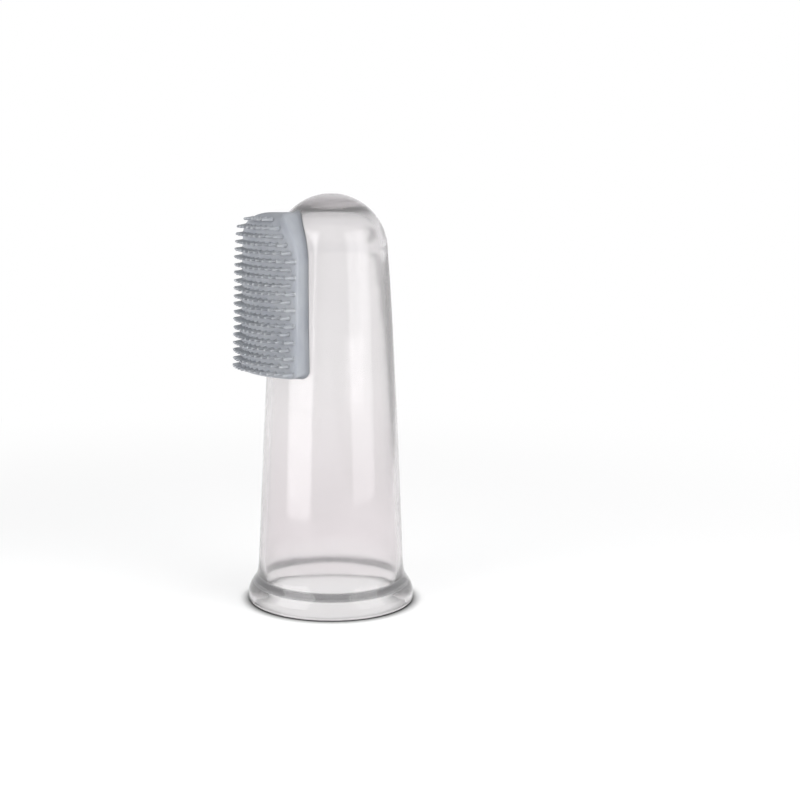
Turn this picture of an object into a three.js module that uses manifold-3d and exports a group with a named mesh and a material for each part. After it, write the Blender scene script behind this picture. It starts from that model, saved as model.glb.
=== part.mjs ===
// Silicone finger toothbrush for pets: a clear sleeve that is pulled over a fingertip, with a pad of
// short bristles on one side near its closed tip.
// Millimetres, +Z up. It stands on its rim, the bristles face -Y, and X = 0 is its mirror plane.
// The real brush is one moulding. It is split here by what each region does: tube, rim bead, bristle
// pad, and the rows of bristles, each of which bends at its root.
import * as THREE from 'three';
import { mergeVertices } from 'three/addons/utils/BufferGeometryUtils.js';
import Module from 'manifold-3d';

const wasm = await Module();
wasm.setup();

// Frame: the origin is the middle of the footprint, so the sleeve's axis stands a little behind it.
const AXIS_Y = 1.08;

// Sleeve
const HEIGHT = 57;
const WALL = 0.85;
const DOME_R = 7.8;
const DOME_Z = HEIGHT - DOME_R;
// Outer radius of the tube at rising heights, from the top of the rim bead to the foot of the dome.
const TUBE_TAPER = [[4, 10.3], [12, 9.92], [20, 9.56], [28, 9.17], [35, 8.78], [41, 8.42], [46, 8.07]];
// The cavity's end: a flattened dome, so that the tip is about two millimetres thick.
const CAVITY_END = [[49.3, 6.93], [51.4, 6.52], [52.8, 5.95], [53.9, 5], [54.65, 3.7], [55.05, 2], [55.15, 0]];
const ROUND_SEGMENTS = 48;
const DOME_STEPS = 9;

// Rim bead
const RIM_TOP = 4;
const RIM_R = 11.66;
const RIM_FOOT_ROUND = 0.35;
// Outer radius at rising heights, where the bead rounds over into the tube.
const RIM_SHOULDER = [[1.1, 11.66], [1.6, 11.6], [2.15, 11.4], [2.7, 11.08], [3.25, 10.7]];
// The mouth is a step wider than the bore, with a sloping ledge between them.
const RIM_MOUTH_R = 10.45;
const RIM_BORE_R = 9.45;
const RIM_LEDGE = [2.42, 2.95];

// Pad: a sector of a ring, arched at the top, whose face rounds back towards the tip
const GAP = 0.3;
const PAD_BOTTOM = 33;
const PAD_TOP = 54.6;
const PAD_FACE_R = [12.55, 12];
const PAD_HALF_ANGLE = 33.4;
const PAD_FOOT_TAPER = 0.85;
const PAD_FOOT_ARCH = 0.5;
const PAD_FOOT_ARCH_HEIGHT = 3.5;
const PAD_ARCH_WIDTH = 5;
const PAD_ARCH_HEIGHT = 6.1;
const PAD_ARCH_LEVELS = 10;
const PAD_SHOULDER_DEPTH = 2.7;
const PAD_SHOULDER_HEIGHT = 2.6;
const PAD_EDGE_ROUND = 0.5;
const PAD_ARC_STEPS = 10;

// Bristles. Each row grows from a root strip, whose outer side is the skin of the pad.
const ROWS = 20;
const ROW_PITCH = 1.06;
const FIRST_ROW_Z = 33.66;
const COLUMN_PITCH = 1.15;
const BRISTLE_LENGTH = 1.3;
const BRISTLE_ROOT_R = 0.27;
const BRISTLE_TIP_R = 0.17;
const BRISTLE_SIDES = 6;
const EDGE_MARGIN = 0.35;
const STRIP_HEIGHT = 0.6;
const STRIP_DEPTH = 0.3;
const STRIP_STEPS = 10;

const CLEAR = { color: 0xe6e8ea, roughness: 0.2, transparent: true, opacity: 0.35 };
const FROSTED = { color: 0xb3b7bc, roughness: 0.45, transparent: true, opacity: 0.9 };

const degrees = (angle) => THREE.MathUtils.degToRad(angle);
const mix = THREE.MathUtils.lerp;

// ---- solids ----

function asSolid(geometry) {
  const bare = new THREE.BufferGeometry();
  bare.setAttribute('position', geometry.getAttribute('position'));
  bare.setIndex(geometry.getIndex());
  const welded = mergeVertices(bare, 1e-5);
  const index = welded.getIndex().array;
  const triangles = [];
  for (let i = 0; i < index.length; i += 3) {
    const [a, b, c] = [index[i], index[i + 1], index[i + 2]];
    if (a !== b && b !== c && c !== a) {
      triangles.push(a, b, c);
    }
  }
  const mesh = new wasm.Mesh({
    numProp: 3,
    vertProperties: new Float32Array(welded.getAttribute('position').array),
    triVerts: new Uint32Array(triangles),
  });
  return new wasm.Manifold(mesh);
}

function asGeometry(solid) {
  const mesh = solid.getMesh();
  const geometry = new THREE.BufferGeometry();
  geometry.setAttribute('position', new THREE.BufferAttribute(new Float32Array(mesh.vertProperties), 3));
  geometry.setIndex(new THREE.BufferAttribute(new Uint32Array(mesh.triVerts), 1));
  return geometry;
}

// A body turned about the sleeve's axis. The profile is [radius, height] pairs, listed so that the
// material lies to the left of the path.
function turned(profile) {
  const points = profile.map(([r, z]) => new THREE.Vector2(r, z));
  const geometry = new THREE.LatheGeometry(points, ROUND_SEGMENTS);
  geometry.rotateX(Math.PI / 2);
  return asSolid(geometry);
}

// A flat outline in X and Y, thickened from z = low to z = high.
function upright(outline, low, high) {
  const shape = new THREE.Shape(outline.map(([x, y]) => new THREE.Vector2(x, y)));
  const geometry = new THREE.ExtrudeGeometry(shape, { depth: high - low, bevelEnabled: false });
  geometry.translate(0, 0, low);
  return asSolid(geometry);
}

// Points on an arc about [x, y], from one angle to the other, both ends included.
function arc([x, y], radius, from, to, steps) {
  return Array.from({ length: steps + 1 }, (_, i) => {
    const angle = degrees(mix(from, to, i / steps));
    return [x + radius * Math.cos(angle), y + radius * Math.sin(angle)];
  });
}

// Faces between closed loops of equal length, listed from the bottom up and each anticlockwise from
// above, with both ends filled.
function lofted(loops) {
  const size = loops[0].length;
  const last = (loops.length - 1) * size;
  const triangles = [];
  for (let level = 0; level < loops.length - 1; level += 1) {
    for (let i = 0; i < size; i += 1) {
      const a = level * size + i;
      const b = level * size + ((i + 1) % size);
      triangles.push(a, b, b + size, a, b + size, a + size);
    }
  }
  for (let i = 0; i < size / 2 - 1; i += 1) {
    const [a, b, c, d] = [i, i + 1, size - 2 - i, size - 1 - i];
    triangles.push(a, c, b, a, d, c);
    triangles.push(last + a, last + b, last + c, last + a, last + c, last + d);
  }
  const geometry = new THREE.BufferGeometry();
  geometry.setAttribute('position', new THREE.Float32BufferAttribute(loops.flat(2), 3));
  geometry.setIndex(triangles);
  return asSolid(geometry);
}

// ---- finger sleeve ----

// The outer surface of the tube and dome.
function sleeveSkin() {
  const tube = TUBE_TAPER.map(([z, r]) => [r, z]);
  const dome = arc([0, DOME_Z], DOME_R, 0, 90, DOME_STEPS);
  dome[DOME_STEPS][0] = 0;
  return [...tube, ...dome];
}

// Outer radius of the sleeve at a height.
function skinRadius(z) {
  if (z > DOME_Z) {
    return Math.sqrt(DOME_R ** 2 - (z - DOME_Z) ** 2);
  }
  const skin = [...TUBE_TAPER, [DOME_Z, DOME_R]];
  const above = skin.findIndex(([height]) => height >= z);
  const [[z0, r0], [z1, r1]] = [skin[above - 1], skin[above]];
  return mix(r0, r1, (z - z0) / (z1 - z0));
}

function makeSleeve() {
  const tube = TUBE_TAPER.map(([z, r]) => [r - WALL, z]);
  const end = CAVITY_END.map(([z, r]) => [r, z]);
  const cavity = [...tube, ...end].reverse();
  return turned([...cavity, ...sleeveSkin()]);
}

// ---- rim bead ----

function makeRim() {
  const tubeOuter = TUBE_TAPER[0][1];
  const tubeInner = tubeOuter - WALL;
  const foot = arc([RIM_R - RIM_FOOT_ROUND, RIM_FOOT_ROUND], RIM_FOOT_ROUND, -90, 0, 3);
  const shoulder = RIM_SHOULDER.map(([z, r]) => [r, z]);
  const [ledgeLow, ledgeHigh] = RIM_LEDGE;
  const profile = [
    [RIM_MOUTH_R, 0],
    ...foot,
    ...shoulder,
    [tubeOuter, RIM_TOP],
    [tubeInner, RIM_TOP],
    [RIM_BORE_R, ledgeHigh],
    [RIM_MOUTH_R, ledgeLow],
    [RIM_MOUTH_R, 0],
  ];
  return turned(profile);
}

// ---- bristle pad ----

// How far an elliptical corner has drawn in, at a distance along it.
function drawnIn(along, width, height) {
  const part = Math.min(1, Math.max(0, along) / height);
  return width * (1 - Math.sqrt(1 - part ** 2));
}

// Radius of the pad's convex face below its shoulder.
function wallRadius(z) {
  return mix(PAD_FACE_R[0], PAD_FACE_R[1], (z - PAD_BOTTOM) / (PAD_TOP - PAD_BOTTOM));
}

// Radius of the pad's convex face, the outer side of its skin.
function faceRadius(z) {
  const over = z - (PAD_TOP - PAD_SHOULDER_HEIGHT);
  return wallRadius(z) - drawnIn(over, PAD_SHOULDER_DEPTH, PAD_SHOULDER_HEIGHT);
}

// Half of the angle that the pad's face spans, which closes in over its arched top.
function halfAngle(z) {
  const over = z - (PAD_TOP - PAD_ARCH_HEIGHT);
  const halfWidth = wallRadius(z) * Math.sin(degrees(PAD_HALF_ANGLE));
  const arched = halfWidth - drawnIn(over, PAD_ARCH_WIDTH, PAD_ARCH_HEIGHT);
  return Math.asin(arched / faceRadius(z));
}

// Half of the angle that the pad's foot on the sleeve spans, as a share of its face's.
function footShare(z) {
  const arched = drawnIn(z - (PAD_TOP - PAD_FOOT_ARCH_HEIGHT), PAD_FOOT_ARCH, PAD_FOOT_ARCH_HEIGHT);
  return mix(1, PAD_FOOT_TAPER, (z - PAD_BOTTOM) / (PAD_TOP - PAD_BOTTOM)) - arched;
}

// One level of the pad: the outer arc with its rounded edges, then the inner arc back again.
function padLevel(z) {
  const outer = faceRadius(z) - STRIP_DEPTH - GAP;
  const inner = skinRadius(z) + GAP;
  const reach = halfAngle(z);
  const foot = reach * footShare(z);
  const edge = Math.min(PAD_EDGE_ROUND, reach * outer * 0.4);
  const at = (radius, angle) => [radius * Math.sin(angle), -radius * Math.cos(angle), z];
  const half = [
    at(outer - edge, reach),
    at(outer - edge * 0.3, reach - (edge * 0.3) / outer),
    at(outer, reach - edge / outer),
  ];
  const other = half.map(([x, y]) => [-x, y, z]).reverse();
  const face = [];
  const back = [];
  for (let i = 1; i < PAD_ARC_STEPS; i += 1) {
    face.push(at(outer, mix(reach - edge / outer, edge / outer - reach, i / PAD_ARC_STEPS)));
  }
  const steps = PAD_ARC_STEPS + 4;
  for (let i = 0; i <= steps; i += 1) {
    back.push(at(inner, mix(-foot, foot, i / steps)));
  }
  return [...half, ...face, ...other, ...back].reverse();
}

function makePad() {
  const levels = [PAD_BOTTOM, 35, 38, 41, 44, 46, 47.5];
  for (let i = 0; i <= PAD_ARCH_LEVELS; i += 1) {
    const turn = degrees(mix(0, 82, i / PAD_ARCH_LEVELS));
    levels.push(PAD_TOP - PAD_ARCH_HEIGHT * (1 - Math.sin(turn)));
  }
  levels.push(PAD_TOP);
  return lofted(levels.map(padLevel));
}

// ---- bristle rows ----

// Columns of one row. Neighbouring rows are staggered by half a pitch.
function columns(row, halfWidth) {
  const start = row % 2 === 0 ? COLUMN_PITCH / 2 : 0;
  const found = start === 0 ? [0] : [];
  for (let x = start || COLUMN_PITCH; x <= halfWidth - EDGE_MARGIN; x += COLUMN_PITCH) {
    found.push(x, -x);
  }
  return found;
}

function rootStrip(z, radius, reach) {
  const turn = THREE.MathUtils.radToDeg(reach);
  const outline = [
    ...arc([0, 0], radius, -90 - turn, -90 + turn, STRIP_STEPS),
    ...arc([0, 0], radius - STRIP_DEPTH, -90 + turn, -90 - turn, STRIP_STEPS),
  ];
  return upright(outline, z - STRIP_HEIGHT / 2, z + STRIP_HEIGHT / 2);
}

function bristle(x, z, rootY, length) {
  const geometry = new THREE.CylinderGeometry(BRISTLE_ROOT_R, BRISTLE_TIP_R, length, BRISTLE_SIDES);
  geometry.translate(0, -length / 2, 0);
  geometry.rotateY(degrees(30));
  geometry.translate(x, rootY, z);
  return asSolid(geometry);
}

function makeRow(row) {
  const z = FIRST_ROW_Z + row * ROW_PITCH;
  const radius = faceRadius(z - STRIP_HEIGHT / 2);
  const reach = halfAngle(z + STRIP_HEIGHT / 2);
  let solid = rootStrip(z, radius, reach);
  for (const x of columns(row, radius * Math.sin(reach))) {
    const skinY = -Math.sqrt(radius ** 2 - x ** 2);
    const sunk = STRIP_DEPTH / 2;
    solid = solid.add(bristle(x, z, skinY + sunk, BRISTLE_LENGTH + sunk));
  }
  return solid;
}

// ---- assembly ----

const brush = new THREE.Group();
brush.name = 'finger_toothbrush';

function place(name, solid, look) {
  const geometry = asGeometry(solid);
  geometry.translate(0, AXIS_Y, 0);
  geometry.computeVertexNormals();
  const mesh = new THREE.Mesh(geometry, new THREE.MeshStandardMaterial(look));
  mesh.name = name;
  brush.add(mesh);
}

place('finger_sleeve', makeSleeve(), CLEAR);
place('rim_bead', makeRim(), CLEAR);
place('bristle_pad', makePad(), FROSTED);
for (let row = 0; row < ROWS; row += 1) {
  place(`bristle_row_${String(row + 1).padStart(2, '0')}`, makeRow(row), FROSTED);
}

export default brush;
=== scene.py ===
"""Looks for a clear silicone finger toothbrush: one continuous clear shell for the sleeve and rim, a
frosted pad lofted on its side, and every bristle as a tapered, round-tipped spike."""
import math
import random

import bpy
import numpy as np
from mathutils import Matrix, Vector


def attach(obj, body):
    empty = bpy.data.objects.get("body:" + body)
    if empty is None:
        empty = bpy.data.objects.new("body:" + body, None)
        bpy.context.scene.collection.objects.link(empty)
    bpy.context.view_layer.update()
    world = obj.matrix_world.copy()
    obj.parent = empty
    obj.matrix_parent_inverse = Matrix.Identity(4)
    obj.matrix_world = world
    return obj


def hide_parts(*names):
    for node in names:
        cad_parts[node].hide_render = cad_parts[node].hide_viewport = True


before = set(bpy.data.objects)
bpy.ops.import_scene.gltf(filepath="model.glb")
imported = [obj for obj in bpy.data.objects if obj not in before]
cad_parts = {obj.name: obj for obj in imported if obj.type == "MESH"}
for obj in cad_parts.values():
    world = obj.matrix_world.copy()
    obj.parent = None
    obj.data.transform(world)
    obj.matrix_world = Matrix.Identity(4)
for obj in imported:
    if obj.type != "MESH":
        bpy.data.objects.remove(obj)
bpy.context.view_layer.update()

random.seed(7)

# ---- sizes in millimetres, about the sleeve's own axis ----

AXIS_Y = 1.08

# Shell: profiles are (radius, height) pairs.
HEIGHT = 57.0
WALL = 0.85
DOME_R = 7.8
DOME_Z = HEIGHT - DOME_R
TUBE = [(10.22, 5.6), (10.11, 8), (9.92, 12), (9.56, 20), (9.17, 28), (8.78, 35), (8.42, 41), (8.07, 46)]
CAVITY_END = [(6.93, 49.3), (6.52, 51.4), (5.95, 52.8), (5.0, 53.9), (3.7, 54.65), (2.0, 55.05), (0, 55.15)]
RIM_R = 11.66
RIM_SHOULDER = [(RIM_R, 1.0), (11.63, 1.5), (11.42, 2.1), (11.08, 2.7), (10.7, 3.25), (10.43, 3.85),
                (10.32, 4.5)]
FOOT_ROUND = 0.4
MOUTH_R = 10.45
MOUTH_TOP = 1.6
LIP_ROUND = 0.2
# The ledge between the wide mouth and the bore, from the bore down to the mouth.
LEDGE = [(9.4, 4.2), (9.43, 3.3), (9.48, 3.02), (9.6, 2.9), (9.85, 2.76), (10.15, 2.6), (10.35, 2.46),
         (MOUTH_R, 2.2)]
SHELL_SEGMENTS = 160
CURVE_STEPS = 4

# Pad. Each elliptical corner is (how far it draws in, the height over which it does).
PAD_BOTTOM = 33.0
PAD_TOP = 54.6
PAD_MIDDLE = 43.5
PAD_FACE = (12.55, 12.0)
PAD_HALF_ANGLE = 33.4
PAD_FOOT_TAPER = 0.85
PAD_FOOT_ARCH = (0.5, 3.5)
PAD_ARCH = (5.0, 6.1)
PAD_SHOULDER = (2.7, 2.6)
PAD_CORNER = 0.8
PAD_EDGE = 0.5
PAD_SUNK = 0.35
# The fillet where the pad leaves the sleeve: (distance off the sleeve, flare outward) from the sleeve up.
PAD_FILLET = ((0.0, 0.45), (0.05, 0.36), (0.12, 0.26), (0.22, 0.14), (0.36, 0.04), (0.5, 0.0))
# The flare weakens towards the tip, over a height that ends above the pad's top.
FLARE_FADE = 9.0
FLARE_END = PAD_TOP + 3.0

ROWS = 20
ROW_PITCH = 1.06
FIRST_ROW = 33.66
COLUMN_PITCH = 1.15
EDGE_MARGIN = 0.35
STRIP_HALF = 0.3
BRISTLE = 1.3
BRISTLE_ROOT = [(-0.25, 0.34), (0.0, 0.32), (0.07, 0.285), (0.2, 0.262), (0.6, 0.225)]
# The tip: (distance short of the end, radius).
BRISTLE_TIP = [(0.15, 0.175), (0.08, 0.155), (0.025, 0.1), (0, 0.03)]
BRISTLE_SIDES = 12
LEAN = 0.02

# ---- studio: azimuths in degrees from the pad's side round to +X, distances in metres ----

CAMERA_AZIMUTH = 55
CAMERA_AWAY = 0.210
CAMERA_HEIGHT = 0.0637
CAMERA_PITCH = 9.82
LAMP_TARGET = Vector((0, 0, 0.03))
FLOOR_RADIUS = 3
FLOOR_SIDES = 96
FLOOR_DROP = 0.00002

SILICONE_IOR = 1.41


# ---- mesh helpers ----

def place(x, y, z):
    """A point given about the sleeve's axis in millimetres, in the frame's metres."""
    return (x / 1000, (y + AXIS_Y) / 1000, z / 1000)


def in_scene(name, data):
    """A new object in the scene, made from mesh, lamp or camera data."""
    thing = bpy.data.objects.new(name, data)
    bpy.context.scene.collection.objects.link(thing)
    return thing


def add_mesh(name, points, faces, material, body):
    mesh = bpy.data.meshes.new(name)
    mesh.from_pydata([place(*p) for p in points], [], faces)
    mesh.update()
    mesh.polygons.foreach_set("use_smooth", [True] * len(mesh.polygons))
    piece = in_scene(name, mesh)
    mesh.materials.append(material)
    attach(piece, body)
    return piece


def arc(cx, cz, radius, start, stop, steps):
    angles = np.radians(np.linspace(start, stop, steps + 1))
    return [(cx + radius * math.cos(a), cz + radius * math.sin(a)) for a in angles]


def flowing(points):
    """A smooth curve through points (Catmull-Rom), with a few steps from each to the next."""
    pts = [np.array(p, float) for p in points]
    pts = [2 * pts[0] - pts[1]] + pts + [2 * pts[-1] - pts[-2]]
    out = []
    for a, b, c, d in zip(pts, pts[1:], pts[2:], pts[3:]):
        for i in range(CURVE_STEPS):
            t = i / CURVE_STEPS
            out.append(tuple(0.5 * (2 * b + (c - a) * t + (2 * a - 5 * b + 4 * c - d) * t * t
                                    + (3 * b - a - 3 * c + d) * t ** 3)))
    out.append(tuple(pts[-2]))
    return out


def loft(loops):
    """Faces between closed loops of equal length, given in order, with both ends filled."""
    n = len(loops[0])
    points = [p for loop in loops for p in loop]
    faces = []
    for i in range(len(loops) - 1):
        for j in range(n):
            k = (j + 1) % n
            faces.append((i * n + j, i * n + k, (i + 1) * n + k, (i + 1) * n + j))
    faces.append(tuple(range(n - 1, -1, -1)))
    faces.append(tuple((len(loops) - 1) * n + j for j in range(n)))
    return points, faces


def lathe(profile, segments):
    """Turns (radius, height) pairs about the axis. The two ends lie on the axis."""
    points = [(0, 0, profile[0][1])]
    for r, z in profile[1:-1]:
        for s in range(segments):
            a = 2 * math.pi * s / segments
            points.append((r * math.cos(a), r * math.sin(a), z))
    points.append((0, 0, profile[-1][1]))
    last = len(points) - 1
    rings = len(profile) - 2
    faces = []
    for s in range(segments):
        t = (s + 1) % segments
        faces.append((0, 1 + t, 1 + s))
        for i in range(rings - 1):
            a, b = 1 + i * segments, 1 + (i + 1) * segments
            faces.append((a + s, a + t, b + t, b + s))
        end = 1 + (rings - 1) * segments
        faces.append((end + s, end + t, last))
    return points, faces


# ---- shader helpers: each returns the output that carries its result ----

def new_material(name):
    material = bpy.data.materials.new(name)
    material.use_nodes = True
    tree = material.node_tree
    return material, tree, tree.nodes["Principled BSDF"]


def object_coords(tree):
    return tree.nodes.new("ShaderNodeTexCoord").outputs["Object"]


def noise(tree, scale, detail=2.0):
    texture = tree.nodes.new("ShaderNodeTexNoise")
    texture.inputs["Scale"].default_value = scale
    texture.inputs["Detail"].default_value = detail
    tree.links.new(object_coords(tree), texture.inputs["Vector"])
    return texture.outputs["Fac"]


def mapped(tree, value, given, wanted=(0.0, 1.0), smooth=False):
    """A value that goes from one end of given to the other, taken to wanted and held at its ends."""
    node = tree.nodes.new("ShaderNodeMapRange")
    node.interpolation_type = "SMOOTHSTEP" if smooth else "LINEAR"
    node.inputs["From Min"].default_value, node.inputs["From Max"].default_value = given
    node.inputs["To Min"].default_value, node.inputs["To Max"].default_value = wanted
    tree.links.new(value, node.inputs["Value"])
    return node.outputs["Result"]


def reckoned(tree, operation, first, second):
    """A math node on an output and on either a number or another output."""
    node = tree.nodes.new("ShaderNodeMath")
    node.operation = operation
    tree.links.new(first, node.inputs[0])
    if isinstance(second, float):
        node.inputs[1].default_value = second
    else:
        tree.links.new(second, node.inputs[1])
    return node.outputs["Value"]


def vector_math(tree, operation, vector, other=(0, 0, 0), result="Vector"):
    node = tree.nodes.new("ShaderNodeVectorMath")
    node.operation = operation
    node.inputs[1].default_value = other
    tree.links.new(vector, node.inputs[0])
    return node.outputs[result]


def height_of(tree, vector):
    split = tree.nodes.new("ShaderNodeSeparateXYZ")
    tree.links.new(vector, split.inputs["Vector"])
    return split.outputs["Z"]


def colour_ramp(tree, value, stops):
    """The colour at a 0 to 1 value, from (position, colour) stops."""
    ramp = tree.nodes.new("ShaderNodeValToRGB")
    for _ in stops[2:]:
        ramp.color_ramp.elements.new(0.5)
    for element, (position, colour) in zip(ramp.color_ramp.elements, stops):
        element.position = position
        element.color = (*colour, 1)
    tree.links.new(value, ramp.inputs["Fac"])
    return ramp.outputs["Color"]


def colour_mix(tree, amount, first, second, blend="MIX"):
    """Blends from a colour, or a colour output, to a second colour."""
    node = tree.nodes.new("ShaderNodeMix")
    node.data_type = "RGBA"
    node.blend_type = blend
    tree.links.new(amount, node.inputs[0])
    if isinstance(first, tuple):
        node.inputs[6].default_value = (*first, 1)
    else:
        tree.links.new(first, node.inputs[6])
    node.inputs[7].default_value = (*second, 1)
    return node.outputs[2]


def shader_mix(tree, amount, first, second):
    node = tree.nodes.new("ShaderNodeMixShader")
    tree.links.new(amount, node.inputs["Fac"])
    tree.links.new(first, node.inputs[1])
    tree.links.new(second, node.inputs[2])
    return node.outputs["Shader"]


def tint(tree, scale, detail, dark, light):
    """Soft mottling between two shades."""
    return colour_ramp(tree, noise(tree, scale, detail), [(0.3, dark), (0.7, light)])


def uneven(tree, shader, scale, detail, roughness):
    """A roughness that varies a little over the surface, between two values."""
    value = mapped(tree, noise(tree, scale, detail), (0.3, 0.7), roughness)
    tree.links.new(value, shader.inputs["Roughness"])


def bump(tree, shader, height, strength, distance):
    node = tree.nodes.new("ShaderNodeBump")
    node.inputs["Strength"].default_value = strength
    node.inputs["Distance"].default_value = distance
    tree.links.new(height, node.inputs["Height"])
    tree.links.new(node.outputs["Normal"], shader.inputs["Normal"])


# ---- materials ----

def painted_shade_ledge_mask(tree):
    """1 on the ledge inside the rim, where a dark matt band is painted as shade, and 0 elsewhere."""
    about = vector_math(tree, "SUBTRACT", object_coords(tree), place(0, 0, 0))
    height = height_of(tree, about)
    level = vector_math(tree, "MULTIPLY", about, (1, 1, 0))
    radius = vector_math(tree, "LENGTH", level, result="Value")
    above = mapped(tree, height, (0.0021, 0.0023))
    below = mapped(tree, height, (0.0033, 0.0031))
    within = mapped(tree, radius, (0.01065, 0.0106))
    return reckoned(tree, "MULTIPLY", reckoned(tree, "MULTIPLY", above, below), within)


def lower_tube_tint(tree):
    """0 on the rim and the upper half, rising to 1 in the lower tube, whose colour is made a little darker
    and pinker.
    """
    amounts = ((4.4, 0), (7, 1), (12, 0.9), (32, 0))
    stops = [(z / HEIGHT, (amount, amount, amount)) for z, amount in amounts]
    share = reckoned(tree, "DIVIDE", height_of(tree, object_coords(tree)), HEIGHT / 1000)
    return colour_ramp(tree, share, stops)


def clear_silicone():
    """Clear, slightly hazy silicone, greyer where the light's way through it is long, with a dark band of
    painted shade on the ledge inside the rim.
    """
    material, tree, shader = new_material("clear_silicone")
    out = tree.nodes["Material Output"]
    shader.inputs["Transmission Weight"].default_value = 1.0
    shader.inputs["IOR"].default_value = SILICONE_IOR
    plain = tint(tree, 90, 2, (0.955, 0.943, 0.947), (0.985, 0.973, 0.977))
    lower_tinted = colour_mix(tree, lower_tube_tint(tree), plain, (0.955, 0.93, 0.94), "MULTIPLY")
    tree.links.new(lower_tinted, shader.inputs["Base Color"])
    uneven(tree, shader, 400, 3, (0.08, 0.13))
    bump(tree, shader, noise(tree, 160), 0.12, 0.0004)
    # A faint milky haze over the whole shell, and a dark matt band painted on the ledge inside the rim as
    # shade.
    painted_shade_band = painted_shade_ledge_mask(tree)
    haze_and_painted_shade = tree.nodes.new("ShaderNodeBsdfDiffuse")
    shade = colour_mix(tree, painted_shade_band, (0.82, 0.82, 0.82), (0.16, 0.163, 0.168))
    tree.links.new(shade, haze_and_painted_shade.inputs["Color"])
    share = mapped(tree, painted_shade_band, (0.0, 1.0), (0.07, 0.8))
    surface = shader_mix(tree, share, shader.outputs["BSDF"], haze_and_painted_shade.outputs["BSDF"])
    tree.links.new(surface, out.inputs["Surface"])
    absorb = tree.nodes.new("ShaderNodeVolumeAbsorption")
    absorb.inputs["Color"].default_value = (0.08, 0.0, 0.02, 1)
    absorb.inputs["Density"].default_value = 76.0
    tree.links.new(absorb.outputs["Volume"], out.inputs["Volume"])
    return material


def frosted_silicone(name, dark, light, transmission):
    """The same silicone with a fine matt surface, which looks grey."""
    material, tree, shader = new_material(name)
    tree.links.new(tint(tree, 260, 3, dark, light), shader.inputs["Base Color"])
    uneven(tree, shader, 900, 4, (0.5, 0.6))
    bump(tree, shader, noise(tree, 2500, 3), 0.15, 0.0001)
    shader.inputs["Transmission Weight"].default_value = transmission
    shader.inputs["IOR"].default_value = SILICONE_IOR
    shader.inputs["Specular IOR Level"].default_value = 0.3
    shader.inputs["Subsurface Weight"].default_value = 0.7
    shader.inputs["Subsurface Radius"].default_value = (1.0, 1.0, 1.0)
    shader.inputs["Subsurface Scale"].default_value = 0.0012
    return material


CLEAR = clear_silicone()
# The bristles are the same silicone as the pad but set lighter, to make up for the shade between them:
# painted light.
PAD_LOOK = frosted_silicone("frosted_pad", (0.25, 0.263, 0.29), (0.295, 0.308, 0.33), 0.2)
BRISTLE_LOOK = frosted_silicone("frosted_bristles", (0.29, 0.303, 0.328), (0.335, 0.345, 0.365), 0.35)


# ---- shell: sleeve and rim in one ----

def outer_wall():
    """Outer profile from the foot of the rim's shoulder to the middle of the dome."""
    dome = arc(0, DOME_Z, DOME_R, 0, 90, 14)
    dome[-1] = (0, HEIGHT)
    return flowing(RIM_SHOULDER + TUBE + dome)


def inner_wall():
    """Inner profile from the middle of the cavity's end down to the mouth."""
    bore = [(r - WALL, z) for r, z in TUBE]
    return flowing([(MOUTH_R, MOUTH_TOP)] + LEDGE[::-1] + bore + CAVITY_END)[::-1]


def make_shell():
    lip = arc(MOUTH_R + LIP_ROUND, LIP_ROUND, LIP_ROUND, 180, 270, 4)
    foot = arc(RIM_R - FOOT_ROUND, FOOT_ROUND, FOOT_ROUND, -90, 0, 6)
    points, faces = lathe(inner_wall() + lip + foot + outer_wall(), SHELL_SEGMENTS)
    shell = add_mesh("clear_shell", points, faces, CLEAR, "sleeve")
    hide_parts("finger_sleeve", "rim_bead")


# ---- pad ----

def sleeve_radius(z):
    if z > DOME_Z:
        return math.sqrt(max(0.0, DOME_R ** 2 - (z - DOME_Z) ** 2))
    skin = TUBE + [(DOME_R, DOME_Z)]
    return float(np.interp(z, [height for _, height in skin], [radius for radius, _ in skin]))


def drawn_in(z, corner):
    """How far an elliptical corner that ends at the pad's top has drawn in at a height."""
    width, height = corner
    part = min(1.0, max(0.0, z - (PAD_TOP - height)) / height)
    return width * (1 - math.sqrt(1 - part ** 2))


def wall_radius(z):
    """Radius of the pad's face below its shoulder."""
    return float(np.interp(z, [PAD_BOTTOM, PAD_TOP], PAD_FACE))


def face_radius(z):
    return wall_radius(z) - drawn_in(z, PAD_SHOULDER)


def half_width(z):
    return wall_radius(z) * math.sin(math.radians(PAD_HALF_ANGLE)) - drawn_in(z, PAD_ARCH)


def pad_outline():
    """The outline of the pad's face, (across, height), anticlockwise from the middle of its bottom."""
    side = half_width(PAD_BOTTOM) - PAD_CORNER
    arch_foot = PAD_TOP - PAD_ARCH[1]
    right = [(x, PAD_BOTTOM) for x in np.linspace(0.4, side - 0.3, 10)]
    right += arc(side, PAD_BOTTOM + PAD_CORNER, PAD_CORNER, -90, 0, 8)
    right += [(half_width(z), z) for z in np.linspace(PAD_BOTTOM + PAD_CORNER + 0.6, arch_foot, 18)]
    rise = np.sin(np.radians(np.linspace(4, 90, 24)))
    right += [(half_width(z), z) for z in arch_foot + PAD_ARCH[1] * rise]
    right += [(x, PAD_TOP) for x in np.linspace(half_width(PAD_TOP), 0.2, 6)[1:]]
    return right + [(-x, z) for x, z in right[::-1]]


def outward(outline):
    """The outward normal at each point of an anticlockwise outline."""
    normals = []
    for (x0, z0), (x1, z1) in zip(outline[-1:] + outline[:-1], outline[1:] + outline[:1]):
        length = math.hypot(x1 - x0, z1 - z0)
        normals.append(((z1 - z0) / length, (x0 - x1) / length))
    return normals


def foot_share(z):
    """Width of the pad's foot on the sleeve, as a share of its face's."""
    up = min(1.0, max(0.0, (z - PAD_BOTTOM) / (PAD_TOP - PAD_BOTTOM)))
    return 1 - (1 - PAD_FOOT_TAPER) * up - drawn_in(z, PAD_FOOT_ARCH)


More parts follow.
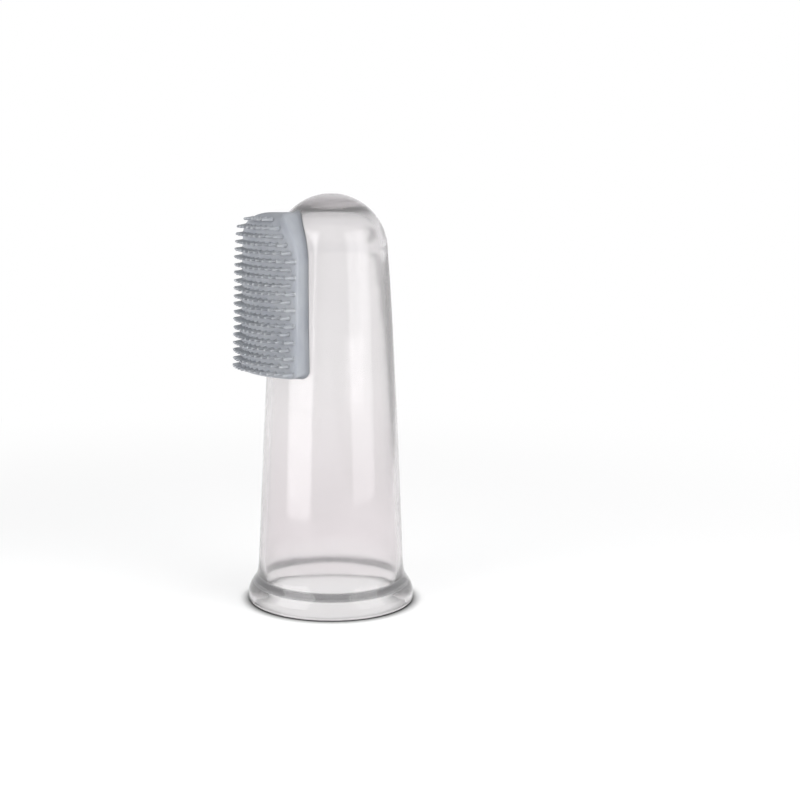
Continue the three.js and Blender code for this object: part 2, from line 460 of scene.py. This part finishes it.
def pad_loop(outline, depth, rise=0.0, grow=0.0, shrink=1.0):
    """The outline part of the way from the sleeve to the face (depth 0 to 1) plus a distance outward,
    grown by a distance or shrunk towards its middle."""
    loop = []
    for (x, z), (nx, nz) in zip(outline, outward(outline)):
        out = grow * min(1.0, (FLARE_END - z) / FLARE_FADE) if grow > 0 else grow
        x = (x + out * nx) * shrink
        z = PAD_MIDDLE + (z + out * nz - PAD_MIDDLE) * shrink
        share = depth + (1 - depth) * foot_share(z)
        turn = share * math.asin(max(-1.0, min(1.0, x / face_radius(z))))
        radius = (1 - depth) * sleeve_radius(z) + depth * face_radius(z) + rise
        loop.append((radius * math.sin(turn), -radius * math.cos(turn), z))
    return loop


def make_pad():
    """The pad as loops: its back inside the sleeve's wall, the fillet, the side, the edge, the face."""
    outline = pad_outline()
    top_rise, flare = PAD_FILLET[-1][0], PAD_FILLET[0][1]
    loops = [pad_loop(outline, 0, -PAD_SUNK, flare, k) for k in (0.03, 0.3, 0.55, 0.8, 1.0)]
    loops += [pad_loop(outline, 0, rise, grow) for rise, grow in PAD_FILLET]
    loops += [pad_loop(outline, t, top_rise * (1 - t) - PAD_EDGE * t) for t in (0.25, 0.5, 0.75, 1.0)]
    for a in np.radians((15, 30, 45, 60, 75, 90)):
        loops.append(pad_loop(outline, 1, -PAD_EDGE * (1 - math.sin(a)), -PAD_EDGE * (1 - math.cos(a))))
    loops += [pad_loop(outline, 1, 0, -PAD_EDGE, k) for k in (0.96, 0.9, 0.82, 0.7, 0.5, 0.3, 0.03)]
    points, faces = loft(loops)
    pad = add_mesh("frosted_pad", points, faces, PAD_LOOK, "sleeve")
    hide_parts("bristle_pad")


# ---- bristles ----

def columns(row, half):
    """Places of a row's bristles across the pad. Every other row is shifted by half a pitch."""
    start = COLUMN_PITCH / 2 if row % 2 == 0 else 0.0
    found = [] if start else [0.0]
    x = start or COLUMN_PITCH
    while x <= half - EDGE_MARGIN + 1e-9:
        found += [x, -x]
        x += COLUMN_PITCH
    return sorted(found)


def bristle_rings(x, z, root, length):
    """One bristle, from a flared root sunk in the pad to a round tip; its axis leans a trace."""
    lean_x, lean_z = random.uniform(-LEAN, LEAN), random.uniform(-LEAN, LEAN)
    profile = BRISTLE_ROOT + [(length - short, radius) for short, radius in BRISTLE_TIP]
    rings = []
    for along, radius in profile:
        ring = []
        for i in range(BRISTLE_SIDES):
            a = 2 * math.pi * i / BRISTLE_SIDES
            ring.append((x + lean_x * along + radius * math.cos(a), -root - along,
                         z + lean_z * along + radius * math.sin(a)))
        rings.append(ring)
    return rings


def make_row(row):
    z = FIRST_ROW + row * ROW_PITCH
    face = face_radius(z - STRIP_HALF)
    points, faces = [], []
    for x in columns(row, half_width(z + STRIP_HALF)):
        root = math.sqrt(face ** 2 - x ** 2)
        some, own = loft(bristle_rings(x, z, root, BRISTLE - random.uniform(0.01, 0.06)))
        faces += [tuple(i + len(points) for i in f) for f in own]
        points += some
    name = f"{row + 1:02d}"
    piece = add_mesh(f"bristles_{name}", points, faces, BRISTLE_LOOK, f"row_{name}")
    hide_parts(f"bristle_row_{name}")


# ---- stage, light and camera ----

def direction(azimuth, elevation=0.0):
    a, e = math.radians(azimuth), math.radians(elevation)
    return Vector((math.sin(a) * math.cos(e), -math.cos(a) * math.cos(e), math.sin(e)))


def along(tree, azimuth, given, wanted):
    """Goes over wanted as a point's distance along an azimuth goes over given."""
    distance = vector_math(tree, "DOT_PRODUCT", object_coords(tree), direction(azimuth), "Value")
    return mapped(tree, distance, given, wanted)


def near_floor(tree, shader):
    """A light grey floor that glows a little, with a contact shadow painted into its colour and glow where
    the brush meets it, painted weaker behind it.
    """
    contact = tree.nodes.new("ShaderNodeAmbientOcclusion")
    contact.samples = 8
    contact.inputs["Distance"].default_value = 0.002
    shade = mapped(tree, contact.outputs["AO"], (0.45, 0.9))
    # Painted contact shadow: full depth in front of the brush, weaker behind it.
    painted_shadow_darkest = along(tree, CAMERA_AZIMUTH, (-0.004, -0.009), (0.0, 0.6))
    tree.links.new(painted_shadow_darkest, shade.node.inputs["To Min"])
    grey = colour_mix(tree, shade, (0.03, 0.03, 0.03), (0.35, 0.35, 0.35))
    tree.links.new(grey, shader.inputs["Base Color"])
    tree.links.new(reckoned(tree, "MULTIPLY", shade, 0.6), shader.inputs["Emission Strength"])
    shader.inputs["Emission Color"].default_value = (1, 1, 1, 1)
    shader.inputs["Roughness"].default_value = 0.9
    shader.inputs["Specular IOR Level"].default_value = 0.2
    return shader.outputs["BSDF"]


def far_floor(tree):
    """Even white to the eye, with a grey stretch to the right that only the brush reflects."""
    glow = tree.nodes.new("ShaderNodeEmission")
    seen = tree.nodes.new("ShaderNodeLightPath").outputs["Is Camera Ray"]
    grey = along(tree, 140, (0.09, 0.07), (0.35, 1.0))
    tree.links.new(reckoned(tree, "MAXIMUM", seen, grey), glow.inputs["Strength"])
    return glow.outputs["Emission"]


def make_floor():
    """A white sweep: lit and shaded near the brush, and evenly white further out."""
    mesh = bpy.data.meshes.new("floor")
    turns = [2 * math.pi * i / FLOOR_SIDES for i in range(FLOOR_SIDES)]
    ring = [(FLOOR_RADIUS * math.cos(a), FLOOR_RADIUS * math.sin(a), -FLOOR_DROP) for a in turns]
    mesh.from_pydata(ring, [], [tuple(range(FLOOR_SIDES))])
    floor = in_scene("floor", mesh)
    material, tree, shader = new_material("floor")
    away = vector_math(tree, "LENGTH", object_coords(tree), result="Value")
    fade = mapped(tree, away, (0.03, 0.16), smooth=True)
    surface = shader_mix(tree, fade, near_floor(tree, shader), far_floor(tree))
    tree.links.new(surface, tree.nodes["Material Output"].inputs["Surface"])
    mesh.materials.append(material)


def make_world():
    """White to the eye; for all other light it is greyer overhead, and greyer still for matt surfaces."""
    world = bpy.data.worlds.new("studio")
    bpy.context.scene.world = world
    world.use_nodes = True
    tree = world.node_tree
    tree.nodes.clear()
    path = tree.nodes.new("ShaderNodeLightPath")
    around = tree.nodes.new("ShaderNodeBackground")
    height = height_of(tree, tree.nodes.new("ShaderNodeTexCoord").outputs["Generated"])
    sky = colour_ramp(tree, height, [(0.12, (0.9, 0.9, 0.91)), (0.45, (0.66, 0.665, 0.67))])
    tree.links.new(sky, around.inputs["Color"])
    strength = mapped(tree, path.outputs["Is Diffuse Ray"], (0.0, 1.0), (1.0, 0.7))
    tree.links.new(strength, around.inputs["Strength"])
    plain = tree.nodes.new("ShaderNodeBackground")
    plain.inputs["Color"].default_value = (1, 1, 1, 1)
    surface = shader_mix(tree, path.outputs["Is Camera Ray"],
                         around.outputs["Background"], plain.outputs["Background"])
    out = tree.nodes.new("ShaderNodeOutputWorld")
    tree.links.new(surface, out.inputs["Surface"])


def softbox(name, azimuth, elevation, distance, width, height, radiance, reflected=True):
    """A soft panel aimed at the middle of the brush."""
    data = bpy.data.lights.new(name, "AREA")
    data.shape = "RECTANGLE"
    data.size = width
    data.size_y = height
    data.energy = radiance * math.pi * width * height
    lamp = in_scene(name, data)
    back = direction(azimuth, elevation)
    lamp.location = LAMP_TARGET + back * distance
    lamp.rotation_euler = back.to_track_quat("Z", "Y").to_euler()
    lamp.visible_camera = False
    lamp.visible_glossy = reflected
    lamp.visible_transmission = reflected


def make_camera():
    """Looks down a little from just above the brush's tip, with the pad turned to the left."""
    data = bpy.data.cameras.new("camera")
    camera = in_scene("camera", data)
    camera.location = direction(CAMERA_AZIMUTH) * CAMERA_AWAY + Vector((0, AXIS_Y / 1000, CAMERA_HEIGHT))
    camera.rotation_euler = (math.radians(90 - CAMERA_PITCH), 0, math.radians(CAMERA_AZIMUTH))
    data.sensor_width = 36
    data.lens = 68.7
    data.shift_x = 0.0863
    data.shift_y = 0.0094
    data.clip_start = 0.01
    data.clip_end = 10
    bpy.context.scene.camera = camera


make_shell()
make_pad()
for number in range(ROWS):
    make_row(number)
make_floor()
make_world()
softbox("key", 2, 14, 0.078, 0.068, 0.1, 3.6)
softbox("fill", 110, 14, 0.085, 0.066, 0.1, 2.2)
softbox("side", 125, 14, 0.5, 0.9, 0.4, 4.2, reflected=False)
make_camera()
bpy.context.scene.view_settings.view_transform = "Standard"
